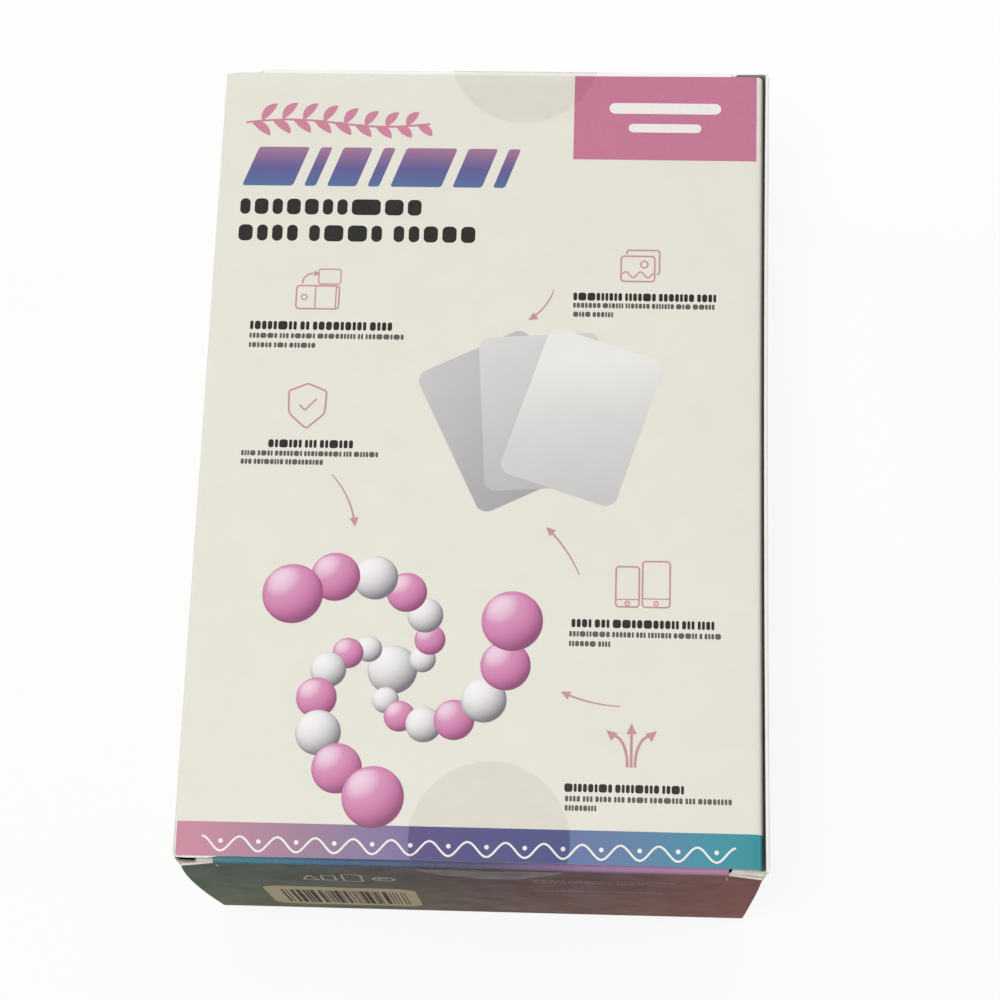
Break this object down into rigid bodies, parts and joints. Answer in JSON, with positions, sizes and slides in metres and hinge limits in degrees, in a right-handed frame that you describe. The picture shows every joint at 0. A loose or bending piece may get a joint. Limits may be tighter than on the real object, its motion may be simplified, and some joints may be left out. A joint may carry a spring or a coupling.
{
  "type": "sealed folding carton",
  "caption": "Sealed folding carton lying on its back panel, with a glued side seam, slit-locked tuck lids and a clear round film seal bent over each end.",
  "frame": {"origin": "centre of the back panel's outer face, on the surface the carton lies on", "axes": "+X across the front panel to its right edge, +Y up the front panel to the carton's top end, +Z out of the front panel"},
  "size_m": [0.14, 0.2062, 0.0801],
  "materials": {
    "carton_board": "satin",
    "seal_film": "gloss"
  },
  "bodies": {
    "root": {"carton": "carton_board", "top_seal": "seal_film", "bottom_seal": "seal_film"}
  },
  "joints": []
}
